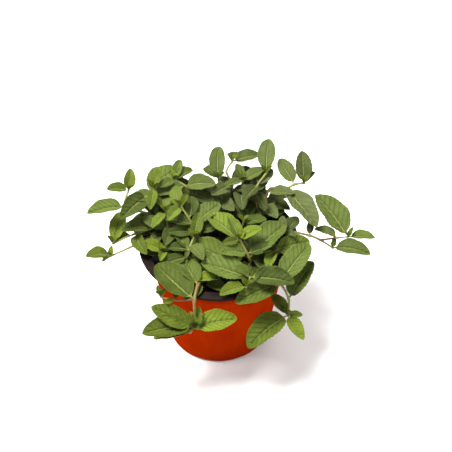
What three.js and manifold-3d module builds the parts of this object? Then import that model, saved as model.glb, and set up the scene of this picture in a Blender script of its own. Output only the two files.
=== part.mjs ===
// A potted mint plant: a two-tone thermoformed pot, its soil, and leafy shoots that spill over the rim.
// Millimetres, +Z up. The origin is the middle of the pot's flat base.
import * as THREE from 'three';
import { mergeVertices } from 'three/addons/utils/BufferGeometryUtils.js';
import Module from 'manifold-3d';

const wasm = await Module();
wasm.setup();

// ---- Driving dimensions ----

const GAP = 0.3; // clearance between pieces that touch

// Pot
const POT_HEIGHT = 86;
const RIM_RADIUS = 53;
const MOUTH_RADIUS = 47.2;
const BASE_RADIUS = 36;
const WALL = 1; // thickness of the formed sheet
const SHOULDER_HEIGHT = 72; // the step that keeps stacked pots from jamming
const SHOULDER_RADIUS = 44.8;
const SHOULDER_STEP = 1.3;
const LIP_DROP = 2.4; // how far the rim's outer edge is turned down
const CORNER_RADIUS = 3;
const POT_SIDES = 40;

// Drainage channels pressed up into the base, each with a hole
const CHANNEL_COUNT = 8;
const CHANNEL_WIDTH = 7;
const CHANNEL_HEIGHT = 2;
const CHANNEL_START = 23;
const HOLE_RADIUS = 2.6;
const HOLE_PLACE = 29;

// Soil
const SOIL_EDGE_HEIGHT = 75.5;
const SOIL_CROWN = 2.5; // how much higher the soil stands in the middle
const ROOT_DEPTH = 7;

// Stems
const STEM_RADIUS = 0.95;
const SIDE_STEM_RADIUS = 0.7;
const STEM_SIDES = 6;
const STEM_STEP = 7; // length of one straight piece of stem

// Leaves
const LEAF_THICKNESS = 0.7;
const LEAF_WIDTH = 0.54; // width as a share of the length
const STALK_SHARE = 0.08; // the part of the length that is stalk
const BLADE_LEAN = 0.85; // below 1, the blade is widest nearer to its base
const BLADE_ROUNDNESS = 0.65; // below 1, the blade's ends are blunt
const LEAF_BEND = 30; // degrees a leaf curves down from base to tip
const LEAF_FOLD = 14; // degrees each half rises from the midrib
const STALK_RADIUS = 0.5;
const STALK_ROOT = 0.5; // how deep the stalk of a small leaf is grown into its stem
const LIGHT_TILT = 18; // degrees a leaf rolls towards the light, which comes from -Y
const LARGE_LEAF = 24; // a leaf of this length or more is a piece of its own
const BUD_LEAF = 8; // length of the two young leaves at the end of each stem
const BUD_RISE = 60;

// Modest leaves that fill the plant, in pairs up each stem
const FILLER_PAIRS = 6;
const FILLER_START = 13; // distance from the foot of the stem to the first pair
const FILLER_SPACING = 9;
const FILLER_END = 6;
const FILLER_TURN = 70; // degrees from one pair to the next
const FILLER_RISE = 8;
const FILLER_LENGTH = 17;
const FILLER_GROWTH = 1; // how much longer each pair is than the one below

// The turns a leaf tries, [aside, up] in degrees, until it is clear of its neighbours
const SWINGS = [
  [0, 0], [0, 8], [0, -8], [8, 0], [-8, 0], [12, 8], [-12, 8], [12, -8], [-12, -8], [0, 16], [0, -16],
  [20, 0], [-20, 0], [20, 14], [-20, 14], [20, -14], [-20, -14], [0, 26], [0, -26], [30, 0], [-30, 0],
];

// ---- The shoots ----
//
// root: where the stem leaves the soil, x and y.
// nodes: the joints of the stem, each x, y, z and then its leaves. A leaf is
// [heading, rise, length, roll]: heading in degrees from +X towards +Y, rise in degrees above
// level, length in mm. A roll in degrees about its own midrib can follow, in place of the usual one.
// side: a thinner shoot that branches off at the node it names, counted from the root.

const SHOOTS = {
  left_low: {
    root: [-18, 6],
    nodes: [
      [-33, 5, 90, [300, 0, 14]],
      [-55, -9, 89],
      [-71, -12, 82, [160, -18, 20], [220, 45, 13], [180, -40, 8]],
    ],
  },
  left_high: {
    root: [-14, -4],
    nodes: [
      [-28, -1, 99, [230, -3, 19]],
      [-54, -3, 94, [295, -5, 20], [70, 0, 20]],
      [-69, -5, 87, [80, 13, 24], [55, -5, 19]],
    ],
  },
  left_mid: {
    root: [-24, 12],
    nodes: [
      [-45, 6, 103],
      [-61, 9, 107, [190, -5, 24]],
      [-59, 18, 113, [175, 0, 15], [80, 55, 15]],
    ],
  },
  left_back: {
    root: [-14, 20],
    nodes: [
      [-32, 17, 105, [130, -10, 16]],
      [-46, 15, 112, [235, 0, 27], [50, 4, 30]],
      [-42, 14, 118, [70, 30, 14], [250, -30, 16]],
    ],
  },
  inner_left: {
    root: [-8, -12],
    nodes: [
      [-17, -5, 104, [170, 0, 20], [45, 5, 24]],
      [-24, 1, 114, [105, 15, 17], [60, 30, 10], [230, -10, 14], [150, 10, 9]],
    ],
  },
  inner_grey: {
    root: [-31, -12],
    nodes: [
      [-33, -4, 98],
      [-34, 2, 108, [98, 12, 22], [230, -15, 15]],
    ],
  },
  left_edge: {
    root: [-36, -18],
    nodes: [
      [-36, -18, 92, [40, 10, 24], [150, 0, 16], [265, 15, 12]],
    ],
  },
  right_inner: {
    root: [36, -16],
    nodes: [
      [35, -20, 95, [20, 0, 24], [200, -5, 20], [255, 0, 18]],
    ],
  },
  back_left: {
    root: [-6, 26],
    nodes: [
      [-21, 20, 114, [44, -3, 18], [0, -20, 12]],
      [-29, 23, 118, [40, 0, 16], [220, 10, 14], [75, 20, 16]],
    ],
  },
  back_mid: {
    root: [-2, 18],
    nodes: [
      [0, 27, 115, [90, 20, 24], [120, 5, 20]],
    ],
  },
  back_centre: {
    root: [6, 24],
    nodes: [
      [8, 28, 112],
      [5, 31, 118],
      [9, 38, 121, [83, -8, 13], [15, 5, 20]],
    ],
  },
  back_inner: {
    root: [8, 25],
    nodes: [
      [16, 24, 116, [15, 8, 17], [110, 20, 14], [200, 0, 14]],
    ],
  },
  back_right: {
    root: [31, 21],
    nodes: [
      [23, 17, 112, [74, 0, 22], [160, 0, 14], [300, -20, 16]],
      [31, 27, 120, [85, 18, 26]],
    ],
  },
  right_thin: {
    root: [28, 12],
    nodes: [
      [34, 23, 110],
      [44, 22, 111, [300, -8, 36]],
      [50, 24, 113, [118, 20, 22]],
      [56, 24, 114, [95, 45, 22], [30, 35, 11]],
    ],
  },
  right_long: {
    root: [28, -2],
    nodes: [
      [43, -6, 98, [100, 27, 12], [303, 34, 13], [60, 0, 18]],
      [59, -6, 95, [85, 10, 12]],
      [66, -7, 92],
      [74, -10, 88, [340, 5, 24]],
    ],
    side: {
      node: 3,
      nodes: [
        [77, -8, 95, [165, 5, 17]],
        [84, -6, 94, [130, 25, 34], [350, 5, 18]],
      ],
    },
  },
  middle: {
    root: [12, 0],
    nodes: [
      [16, 1, 100, [85, 5, 22], [0, 10, 16]],
    ],
  },
  centre: {
    root: [20, -24],
    nodes: [
      [19, -28, 97, [48, 8, 34]],
      [13, -23, 108, [130, -2, 30], [95, 0, 18], [195, -3, 12], [20, 20, 16]],
    ],
  },
  centre_low: {
    root: [4, -22],
    nodes: [
      [10, -29, 93, [149, 4, 33]],
    ],
  },
  front_mid: {
    root: [12, -36],
    nodes: [
      [19, -43, 95, [160, 4, 31], [350, 0, 27], [180, 46, 14]],
      [17, -49, 93, [64, 6, 17], [196, -8, 18]],
    ],
  },
  front_left: {
    root: [-8, -32],
    nodes: [
      [-13, -47, 92, [113, -6, 24]],
      [-15, -55, 88, [133, -2, 35]],
      [-15, -58, 78],
      [-16, -60, 68, [190, 0, 31], [10, 5, 27], [157, 22, 28], [92, 97, 15], [120, 70, 12], [55, 60, 15], [300, 30, 9]],
      [-18, -61, 64, [176, -20, 24]],
    ],
    side: {
      node: 2,
      nodes: [
        [-27, -51, 83, [90, 25, 9], [180, -20, 8]],
        [-36, -46, 80, [110, 20, 9]],
      ],
    },
  },
  front_right: {
    root: [24, -28],
    nodes: [
      [31, -36, 93],
      [38, -42, 89, [52, 8, 32], [205, 0, 30]],
      [44, -45, 77, [52, 26, 28]],
      [44, -47, 64, [215, -20, 32], [123, 12, 18], [355, 5, 10], [300, -15, 20]],
    ],
  },
  low_left: {
    root: [-28, 26],
    nodes: [
      [-33, 28, 93, [190, -5, 19], [75, 0, 20], [320, 5, 20]],
    ],
  },
  low_right: {
    root: [24, 29],
    nodes: [
      [32, 31, 94, [20, -5, 20], [130, 0, 21], [255, 5, 20], [325, 0, 20]],
    ],
  },
  low_front: {
    root: [-1, -31],
    nodes: [
      [3, -36, 88, [200, -5, 20], [20, 0, 21], [105, 5, 20]],
    ],
  },
  left_front: {
    root: [-22, -22],
    nodes: [
      [-19, -21, 97, [119, 5, 18], [253, -5, 8], [165, -8, 15]],
      [-16, -14, 101, [68, 19, 18]],
    ],
  },
};

// ---- Colours ----

const material = (color, roughness) => new THREE.MeshStandardMaterial({ color, roughness, metalness: 0 });
const POT_PLASTIC = material('#c4410f', 0.45);
const POTTING_SOIL = material('#1d140e', 0.95);
const STEM_GREEN = material('#7d5a33', 0.6);
const LEAF_GREEN = material('#6f8b45', 0.6);

// ---- Solids ----

const radians = THREE.MathUtils.degToRad;

/** A closed three.js geometry as a solid that can be joined and cut. */
function solidOf(geometry) {
  geometry.deleteAttribute('uv');
  geometry.deleteAttribute('normal');
  const merged = mergeVertices(geometry, 1e-4);
  return new wasm.Manifold(new wasm.Mesh({
    numProp: 3,
    vertProperties: new Float32Array(merged.attributes.position.array),
    triVerts: new Uint32Array(merged.index.array),
  }));
}

/** A solid as a three.js geometry again. */
function geometryOf(solid) {
  const mesh = solid.getMesh();
  const geometry = new THREE.BufferGeometry();
  geometry.setAttribute('position', new THREE.BufferAttribute(mesh.vertProperties, 3));
  geometry.setIndex(new THREE.BufferAttribute(mesh.triVerts, 1));
  return geometry;
}

/** A lathe turned to stand along +Z. Points are [radius, height], going round the section. */
function turned(points, sides) {
  const profile = points.map(([radius, height]) => new THREE.Vector2(radius, height));
  return new THREE.LatheGeometry(profile, sides).rotateX(Math.PI / 2);
}

const node = (name, geometry, look) => {
  const mesh = new THREE.Mesh(geometry, look);
  mesh.name = name;
  return mesh;
};

// ---- Pot ----

/** The quarter-round corner between the pot's base and wall, as points of its section. */
function corner(centreRadius, centreHeight, radius, steps) {
  return Array.from({ length: steps + 1 }, (_, i) => {
    const angle = -Math.PI / 2 + (i / steps) * (Math.PI / 2);
    return [centreRadius + radius * Math.cos(angle), centreHeight + radius * Math.sin(angle)];
  });
}

function potShell() {
  const outside = [
    [0, 0],
    ...corner(BASE_RADIUS - CORNER_RADIUS, CORNER_RADIUS, CORNER_RADIUS, 3),
    [SHOULDER_RADIUS, SHOULDER_HEIGHT],
    [SHOULDER_RADIUS + SHOULDER_STEP, SHOULDER_HEIGHT + SHOULDER_STEP],
    [MOUTH_RADIUS + WALL, POT_HEIGHT - WALL],
    [RIM_RADIUS - WALL, POT_HEIGHT - WALL],
    [RIM_RADIUS - WALL, POT_HEIGHT - LIP_DROP],
    [RIM_RADIUS, POT_HEIGHT - LIP_DROP],
    [RIM_RADIUS, POT_HEIGHT - WALL / 2],
    [RIM_RADIUS - WALL / 2, POT_HEIGHT],
  ];
  const inside = [
    [MOUTH_RADIUS, POT_HEIGHT],
    [SHOULDER_RADIUS + SHOULDER_STEP - WALL, SHOULDER_HEIGHT + SHOULDER_STEP],
    [SHOULDER_RADIUS - WALL, SHOULDER_HEIGHT],
    ...corner(BASE_RADIUS - CORNER_RADIUS, CORNER_RADIUS, CORNER_RADIUS - WALL, 3).reverse(),
    [0, WALL],
  ];
  return solidOf(turned([...outside, ...inside], POT_SIDES));
}

/** A bar that lies along a radius of the base, from one radius to another. */
function radialBar(angle, from, to, width, low, high) {
  const bar = new THREE.BoxGeometry(to - from, width, high - low);
  bar.translate((from + to) / 2, 0, (low + high) / 2);
  return solidOf(bar.rotateZ(angle));
}

function makePot() {
  let pot = potShell();
  for (let i = 0; i < CHANNEL_COUNT; i += 1) {
    const angle = ((i + 0.5) / CHANNEL_COUNT) * Math.PI * 2;
    const ridgeTop = CHANNEL_HEIGHT + WALL;
    const ridge = radialBar(
      angle, CHANNEL_START - WALL, BASE_RADIUS - WALL / 2, CHANNEL_WIDTH + 2 * WALL, WALL / 2, ridgeTop,
    );
    const channel = radialBar(angle, CHANNEL_START, BASE_RADIUS + WALL, CHANNEL_WIDTH, -WALL, CHANNEL_HEIGHT);
    const drill = new THREE.CylinderGeometry(HOLE_RADIUS, HOLE_RADIUS, 4 * WALL, 12).rotateX(Math.PI / 2);
    drill.translate(HOLE_PLACE * Math.cos(angle), HOLE_PLACE * Math.sin(angle), ridgeTop);
    pot = pot.add(ridge).subtract(channel).subtract(solidOf(drill));
  }
  return pot;
}

// ---- Soil ----

/** Height of the soil at a distance from the middle. */
function soilHeight(radius) {
  const share = radius / MOUTH_RADIUS;
  return SOIL_EDGE_HEIGHT + SOIL_CROWN * (1 - share * share);
}

function makeSoil() {
  const lowest = CHANNEL_HEIGHT + WALL + GAP;
  const slope = (SHOULDER_RADIUS - BASE_RADIUS) / (SHOULDER_HEIGHT - CORNER_RADIUS);
  const clear = WALL + GAP;
  const edge = SHOULDER_RADIUS + SHOULDER_STEP - clear;
  const crown = [0.9, 0.6, 0.3].map((share) => [edge * share, soilHeight(edge * share)]);
  let soil = solidOf(turned([
    [0, lowest],
    [BASE_RADIUS - clear + slope * (lowest - CORNER_RADIUS), lowest],
    [SHOULDER_RADIUS - clear, SHOULDER_HEIGHT],
    [edge, SHOULDER_HEIGHT + SHOULDER_STEP],
    [edge, soilHeight(edge)],
    ...crown,
    [0, soilHeight(0)],
  ], POT_SIDES));
  for (const { root: [x, y] } of Object.values(SHOOTS)) {
    const radius = STEM_RADIUS + 3 * GAP;
    const depth = ROOT_DEPTH + GAP;
    const socket = new THREE.CylinderGeometry(radius, radius, 2 * depth, STEM_SIDES).rotateX(Math.PI / 2);
    socket.translate(x, y, soilHeight(Math.hypot(x, y)));
    soil = soil.subtract(solidOf(socket));
  }
  return soil;
}

// ---- Leaves ----

const placeOf = (joint) => joint.slice(0, 3);

/** The leaf's own axes: along its midrib, across it, and out of its upper face. */
function leafAxes([heading, rise, , roll = LIGHT_TILT * Math.cos(radians(heading))]) {
  const turn = new THREE.Euler(radians(roll), -radians(rise), radians(heading), 'ZYX');
  const axis = (x, y, z) => new THREE.Vector3(x, y, z).applyEuler(turn);
  return { along: axis(1, 0, 0), across: axis(0, 1, 0), out: axis(0, 0, 1) };
}

/** Half the leaf's width at a share of its length: a slim stalk, then a blade widest below its middle. */
function halfWidth(share, length) {
  const blade = Math.max(0, (share - STALK_SHARE) / (1 - STALK_SHARE)) ** BLADE_LEAN;
  const roundness = (4 * blade * (1 - blade)) ** BLADE_ROUNDNESS;
  return Math.max(0.5 * LEAF_WIDTH * length * roundness, STALK_RADIUS * Math.sin(Math.PI * share));
}

/** A leaf is a sphere with four sides, drawn out along a drooping midrib and pressed flat. */
function leafSolid(joint, leaf, clearance, thickness = LEAF_THICKNESS) {
  const length = leaf[2];
  const { along, across, out } = leafAxes(leaf);
  const base = new THREE.Vector3(...placeOf(joint)).addScaledVector(along, clearance);
  const bend = radians(LEAF_BEND);
  const arcRadius = length / (2 * Math.sin(bend / 2));
  const rows = length >= LARGE_LEAF ? 7 : 4;
  const sphere = new THREE.SphereGeometry(1, 4, rows);
  const points = sphere.attributes.position;
  for (let i = 0; i < points.count; i += 1) {
    const share = Math.acos(THREE.MathUtils.clamp(points.getY(i), -1, 1)) / Math.PI;
    const girth = Math.sin(Math.PI * share);
    const sideways = girth > 1e-6 ? Math.round(points.getX(i) / girth) : 0;
    const upwards = girth > 1e-6 ? Math.round(points.getZ(i) / girth) : 0;
    const angle = bend * (share - 0.5);
    const reach = arcRadius * (Math.sin(angle) + Math.sin(bend / 2));
    const arch = arcRadius * (Math.cos(angle) - Math.cos(bend / 2));
    const half = halfWidth(share, length);
    const lift = Math.abs(sideways) * half * Math.tan(radians(LEAF_FOLD));
    const point = base.clone()
      .addScaledVector(along, reach)
      .addScaledVector(across, sideways * half)
      .addScaledVector(out, arch + lift + upwards * thickness / 2);
    points.setXYZ(i, point.x, point.y, point.z);
  }
  return solidOf(sphere);
}

// ---- Stems ----

/** The path of a stem through a list of points, and a little past the last one. */
function stemPath(points) {
  const knots = points.map((point) => new THREE.Vector3(...point));
  const [before, last] = knots.slice(-2);
  const onward = last.clone().sub(before).setLength(STEM_RADIUS);
  knots.push(last.clone().add(onward));
  return new THREE.CatmullRomCurve3(knots, false, 'centripetal');
}

/** A round stem along a path. */
function stemSolid(path, radius) {
  const ring = Array.from({ length: STEM_SIDES }, (_, i) => {
    const angle = (i / STEM_SIDES) * Math.PI * 2;
    return new THREE.Vector2(radius * Math.cos(angle), radius * Math.sin(angle));
  });
  const steps = Math.max(3, Math.round(path.getLength() / STEM_STEP));
  return solidOf(new THREE.ExtrudeGeometry(new THREE.Shape(ring), { steps, extrudePath: path, bevelEnabled: false }));
}

/** The main stem of a shoot, which starts inside the soil. */
function mainPath({ root: [x, y], nodes }) {
  const ground = soilHeight(Math.hypot(x, y));
  return stemPath([[x, y, ground - ROOT_DEPTH], [x, y, ground + 2], ...nodes.map(placeOf)]);
}

/** The two young leaves that close the end of a stem, turned a quarter from its last leaves. */
function budLeaves(nodes) {
  const joint = nodes[nodes.length - 1];
  const heading = (joint.length > 3 ? joint[3][0] : 0) + 90;
  return [heading, heading + 180].map((turn) => ({ joint, leaf: [turn, BUD_RISE, BUD_LEAF] }));
}

/** Pairs of modest leaves at even distances up the stem, as far as it stands over the soil. */
function fillerLeaves(path) {
  const found = [];
  const length = path.getLength();
  for (let pair = 0; pair < FILLER_PAIRS; pair += 1) {
    const distance = FILLER_START + pair * FILLER_SPACING;
    if (distance > length - FILLER_END) break;
    const joint = path.getPointAt(distance / length).toArray();
    if (Math.hypot(joint[0], joint[1]) > MOUTH_RADIUS) break;
    const tangent = path.getTangentAt(distance / length);
    const heading = THREE.MathUtils.radToDeg(Math.atan2(tangent.y, tangent.x)) + 90 + pair * FILLER_TURN;
    for (const turn of [heading, heading + 180]) {
      found.push({ joint, leaf: [turn, FILLER_RISE, FILLER_LENGTH + pair * FILLER_GROWTH] });
    }
  }
  return found;
}

// ---- Fitting the leaves between each other ----

const taken = [];

/** Remember that a piece fills its space. A leaf also remembers the joint that it grows from. */
function take(owner, solid, joint) {
  taken.push({ owner, solid, joint, box: solid.boundingBox() });
}

/** Whether a leaf keeps clear of all that is in place, apart from its own stem and joint. */
function isClear(owner, solid, joint) {
  const box = solid.boundingBox();
  return taken.every((other) => (other.owner === owner && (!other.joint || other.joint === joint))
    || [0, 1, 2].some((k) => other.box.min[k] > box.max[k] || other.box.max[k] < box.min[k])
    || solid.intersect(other.solid).volume() < 1e-4);
}

/** A leaf swings about its joint by the smallest turn that clears what is in place, or isn't grown. */
function fitLeaf(owner, { joint, leaf }, clearance) {
  const [heading, rise, ...rest] = leaf;
  for (const [aside, up] of SWINGS) {
    const swung = [heading + aside, rise + up, ...rest];
    const roomy = leafSolid(joint, swung, clearance, LEAF_THICKNESS + 2 * GAP);
    if (isClear(owner, roomy, joint)) {
      const solid = leafSolid(joint, swung, clearance);
      take(owner, solid, joint);
      return solid;
    }
  }
  return null;
}

// ---- The plant ----

const pot = makePot();
const soil = makeSoil();
const stems = Object.entries(SHOOTS).map(([name, shoot]) => {
  const path = mainPath(shoot);
  const parts = [stemSolid(path, STEM_RADIUS)];
  const joints = [...shoot.nodes];
  const buds = budLeaves(shoot.nodes);
  if (shoot.side) {
    const { node: start, nodes } = shoot.side;
    parts.push(stemSolid(stemPath([shoot.nodes[start - 1], ...nodes].map(placeOf)), SIDE_STEM_RADIUS));
    joints.push(...nodes);
    buds.push(...budLeaves(nodes));
  }
  const leaves = joints.flatMap((joint) => joint.slice(3).map((leaf) => ({ joint, leaf })));
  return { name, path, parts, leaves, buds };
});

take('pot', pot);
take('soil', soil);
for (const { name, parts } of stems) parts.forEach((part) => take(`stem_${name}`, part));

const isLarge = ({ leaf }) => leaf[2] >= LARGE_LEAF;
const largeLeaves = stems.flatMap(({ name, leaves }) => leaves.filter(isLarge).map((spot, i) => {
  const owner = `leaf_${name}_${i + 1}`;
  return { owner, solid: fitLeaf(owner, spot, STEM_RADIUS + GAP) };
}));
for (const { name, parts, leaves, buds } of stems) {
  for (const spot of [...leaves.filter((leaf) => !isLarge(leaf)), ...buds]) {
    const solid = fitLeaf(`stem_${name}`, spot, -STALK_ROOT);
    if (solid) parts.push(solid);
  }
}
for (const { name, path, parts } of stems) {
  for (const spot of fillerLeaves(path)) {
    const solid = fitLeaf(`stem_${name}`, spot, -STALK_ROOT);
    if (solid) parts.push(solid);
  }
}

/** Everything that grows on one stem as a single solid, without the specks that joining can leave. */
function grownTogether(parts) {
  const bodies = wasm.Manifold.union(parts).decompose();
  return bodies.reduce((largest, body) => (body.volume() > largest.volume() ? body : largest));
}

const plant = new THREE.Group();
plant.add(node('pot', geometryOf(pot), POT_PLASTIC));
plant.add(node('soil', geometryOf(soil), POTTING_SOIL));
for (const { name, parts } of stems) {
  plant.add(node(`stem_${name}`, geometryOf(grownTogether(parts)), STEM_GREEN));
}
for (const { owner, solid } of largeLeaves) plant.add(node(owner, geometryOf(solid), LEAF_GREEN));

export default plant;
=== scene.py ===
"""A potted mint plant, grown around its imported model: the pot, its soil, the stems and the leaves."""

import math
import random

import bmesh
import bpy
import numpy as np
from mathutils import Euler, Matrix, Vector


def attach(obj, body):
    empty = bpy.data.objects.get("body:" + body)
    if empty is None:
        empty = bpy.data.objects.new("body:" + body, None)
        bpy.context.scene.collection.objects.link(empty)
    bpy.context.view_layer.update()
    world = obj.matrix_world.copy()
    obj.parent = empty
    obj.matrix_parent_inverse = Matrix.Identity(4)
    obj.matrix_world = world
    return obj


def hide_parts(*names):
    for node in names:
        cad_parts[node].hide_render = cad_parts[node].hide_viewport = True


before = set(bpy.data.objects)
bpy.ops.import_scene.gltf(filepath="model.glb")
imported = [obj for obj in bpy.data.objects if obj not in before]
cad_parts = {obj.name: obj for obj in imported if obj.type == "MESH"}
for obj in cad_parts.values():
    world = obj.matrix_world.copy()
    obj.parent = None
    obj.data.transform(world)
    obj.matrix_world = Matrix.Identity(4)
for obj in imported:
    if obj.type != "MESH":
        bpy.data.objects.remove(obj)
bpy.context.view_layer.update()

bl_info = {
    "name": "Potted mint",
    "version": (1, 0, 0),
    "blender": (4, 5, 0),
    "location": "3D View > Sidebar > Mint",
    "description": "Makes a potted mint plant: pot, soil, stems and leaves",
    "category": "Add Mesh",
}

BODY = "root"
MM = 0.001

LEAF_DIRECTIONS = ("along", "across", "out")  # the axes of a leaf

# ---- The plant's layout, in millimetres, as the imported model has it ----

MOUTH_RADIUS = 47.2
SOIL_EDGE_HEIGHT = 75.5
SOIL_CROWN = 2.5
ROOT_DEPTH = 7
STEM_RADIUS = 0.95
SIDE_STEM_RADIUS = 0.7
GAP = 0.3
STALK_ROOT = 0.5
LIGHT_TILT = 18
LARGE_LEAF = 24
BUD_LEAF = 8
BUD_RISE = 60
FILLER_PAIRS = 6
FILLER_START = 13
FILLER_SPACING = 9
FILLER_END = 6
FILLER_TURN = 70
FILLER_RISE = 8
FILLER_LENGTH = 17
FILLER_GROWTH = 1
TIP_MATCH = 0.02  # how near a leaf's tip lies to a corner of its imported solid

# How young each kind of leaf looks, from 0 for old to 1. The first two grow towards the shoot's end.
YOUTH_LARGE = 0.5
YOUTH_SMALL = 0.62
YOUTH_FILLER = 0.2
YOUTH_BUD = 1.0

# The turns, [aside, up] in degrees, by which a leaf may have swung clear of its neighbours
SWINGS = [
    (0, 0), (0, 8), (0, -8), (8, 0), (-8, 0), (12, 8), (-12, 8), (12, -8), (-12, -8), (0, 16), (0, -16),
    (20, 0), (-20, 0), (20, 14), (-20, 14), (20, -14), (-20, -14), (0, 26), (0, -26), (30, 0), (-30, 0),
]

# Each shoot: the foot of its stem, then its joints as x, y, z and the leaves that grow there, and
# perhaps a side shoot that starts at one of the joints. A leaf is (heading from +X towards +Y,
# rise above level, length, roll about its midrib), with the angles in degrees.
SHOOTS = {
    "left_low": {
        "root": (-18, 6),
        "joints": [
            ((-33, 5, 90), [(300, 0, 14)]),
            ((-55, -9, 89), []),
            ((-71, -12, 82), [(160, -18, 20), (220, 45, 13), (180, -40, 8)]),
        ],
    },
    "left_high": {
        "root": (-14, -4),
        "joints": [
            ((-28, -1, 99), [(230, -3, 19)]),
            ((-54, -3, 94), [(295, -5, 20), (70, 0, 20)]),
            ((-69, -5, 87), [(80, 13, 24), (55, -5, 19)]),
        ],
    },
    "left_mid": {
        "root": (-24, 12),
        "joints": [
            ((-45, 6, 103), []),
            ((-61, 9, 107), [(190, -5, 24)]),
            ((-59, 18, 113), [(175, 0, 15), (80, 55, 15)]),
        ],
    },
    "left_back": {
        "root": (-14, 20),
        "joints": [
            ((-32, 17, 105), [(130, -10, 16)]),
            ((-46, 15, 112), [(235, 0, 27), (50, 4, 30)]),
            ((-42, 14, 118), [(70, 30, 14), (250, -30, 16)]),
        ],
    },
    "inner_left": {
        "root": (-8, -12),
        "joints": [
            ((-17, -5, 104), [(170, 0, 20), (45, 5, 24)]),
            ((-24, 1, 114), [(105, 15, 17), (60, 30, 10), (230, -10, 14), (150, 10, 9)]),
        ],
    },
    "inner_grey": {
        "root": (-31, -12),
        "joints": [
            ((-33, -4, 98), []),
            ((-34, 2, 108), [(98, 12, 22), (230, -15, 15)]),
        ],
    },
    "left_edge": {
        "root": (-36, -18),
        "joints": [
            ((-36, -18, 92), [(40, 10, 24), (150, 0, 16), (265, 15, 12)]),
        ],
    },
    "right_inner": {
        "root": (36, -16),
        "joints": [
            ((35, -20, 95), [(20, 0, 24), (200, -5, 20), (255, 0, 18)]),
        ],
    },
    "back_left": {
        "root": (-6, 26),
        "joints": [
            ((-21, 20, 114), [(44, -3, 18), (0, -20, 12)]),
            ((-29, 23, 118), [(40, 0, 16), (220, 10, 14), (75, 20, 16)]),
        ],
    },
    "back_mid": {
        "root": (-2, 18),
        "joints": [
            ((0, 27, 115), [(90, 20, 24), (120, 5, 20)]),
        ],
    },
    "back_centre": {
        "root": (6, 24),
        "joints": [
            ((8, 28, 112), []),
            ((5, 31, 118), []),
            ((9, 38, 121), [(83, -8, 13), (15, 5, 20)]),
        ],
    },
    "back_inner": {
        "root": (8, 25),
        "joints": [
            ((16, 24, 116), [(15, 8, 17), (110, 20, 14), (200, 0, 14)]),
        ],
    },
    "back_right": {
        "root": (31, 21),
        "joints": [
            ((23, 17, 112), [(74, 0, 22), (160, 0, 14), (300, -20, 16)]),
            ((31, 27, 120), [(85, 18, 26)]),
        ],
    },
    "right_thin": {
        "root": (28, 12),
        "joints": [
            ((34, 23, 110), []),
            ((44, 22, 111), [(300, -8, 36)]),
            ((50, 24, 113), [(118, 20, 22)]),
            ((56, 24, 114), [(95, 45, 22), (30, 35, 11)]),
        ],
    },
    "right_long": {
        "root": (28, -2),
        "joints": [
            ((43, -6, 98), [(100, 27, 12), (303, 34, 13), (60, 0, 18)]),
            ((59, -6, 95), [(85, 10, 12)]),
            ((66, -7, 92), []),
            ((74, -10, 88), [(340, 5, 24)]),
        ],
        "side": {"start": 3, "joints": [
            ((77, -8, 95), [(165, 5, 17)]),
            ((84, -6, 94), [(130, 25, 34), (350, 5, 18)]),
        ]},
    },
    "middle": {
        "root": (12, 0),
        "joints": [
            ((16, 1, 100), [(85, 5, 22), (0, 10, 16)]),
        ],
    },
    "centre": {
        "root": (20, -24),
        "joints": [
            ((19, -28, 97), [(48, 8, 34)]),
            ((13, -23, 108), [(130, -2, 30), (95, 0, 18), (195, -3, 12), (20, 20, 16)]),
        ],
    },
    "centre_low": {
        "root": (4, -22),
        "joints": [
            ((10, -29, 93), [(149, 4, 33)]),
        ],
    },
    "front_mid": {
        "root": (12, -36),
        "joints": [
            ((19, -43, 95), [(160, 4, 31), (350, 0, 27), (180, 46, 14)]),
            ((17, -49, 93), [(64, 6, 17), (196, -8, 18)]),
        ],
    },
    "front_left": {
        "root": (-8, -32),
        "joints": [
            ((-13, -47, 92), [(113, -6, 24)]),
            ((-15, -55, 88), [(133, -2, 35)]),
            ((-15, -58, 78), []),
            ((-16, -60, 68), [
                (190, 0, 31), (10, 5, 27), (157, 22, 28), (92, 97, 15), (120, 70, 12),
                (55, 60, 15), (300, 30, 9),
            ]),
            ((-18, -61, 64), [(176, -20, 24)]),
        ],
        "side": {"start": 2, "joints": [
            ((-27, -51, 83), [(90, 25, 9), (180, -20, 8)]),
            ((-36, -46, 80), [(110, 20, 9)]),
        ]},
    },
    "front_right": {
        "root": (24, -28),
        "joints": [
            ((31, -36, 93), []),
            ((38, -42, 89), [(52, 8, 32), (205, 0, 30)]),
            ((44, -45, 77), [(52, 26, 28)]),
            ((44, -47, 64), [(215, -20, 32), (123, 12, 18), (355, 5, 10), (300, -15, 20)]),
        ],
    },
    "low_left": {
        "root": (-28, 26),
        "joints": [
            ((-33, 28, 93), [(190, -5, 19), (75, 0, 20), (320, 5, 20)]),
        ],
    },
    "low_right": {
        "root": (24, 29),
        "joints": [
            ((32, 31, 94), [(20, -5, 20), (130, 0, 21), (255, 5, 20), (325, 0, 20)]),
        ],
    },
    "low_front": {
        "root": (-1, -31),
        "joints": [
            ((3, -36, 88), [(200, -5, 20), (20, 0, 21), (105, 5, 20)]),
        ],
    },
    "left_front": {
        "root": (-22, -22),
        "joints": [
            ((-19, -21, 97), [(119, 5, 18), (253, -5, 8), (165, -8, 15)]),
            ((-16, -14, 101), [(68, 19, 18)]),
        ],
    },
}


# ---- The plant's growth: where each stem runs and each leaf sits ----


def soil_height(radius):
    """Height of the soil at a distance from the middle of the pot, in millimetres."""
    return SOIL_EDGE_HEIGHT + SOIL_CROWN * (1 - (radius / MOUTH_RADIUS) ** 2)


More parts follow.
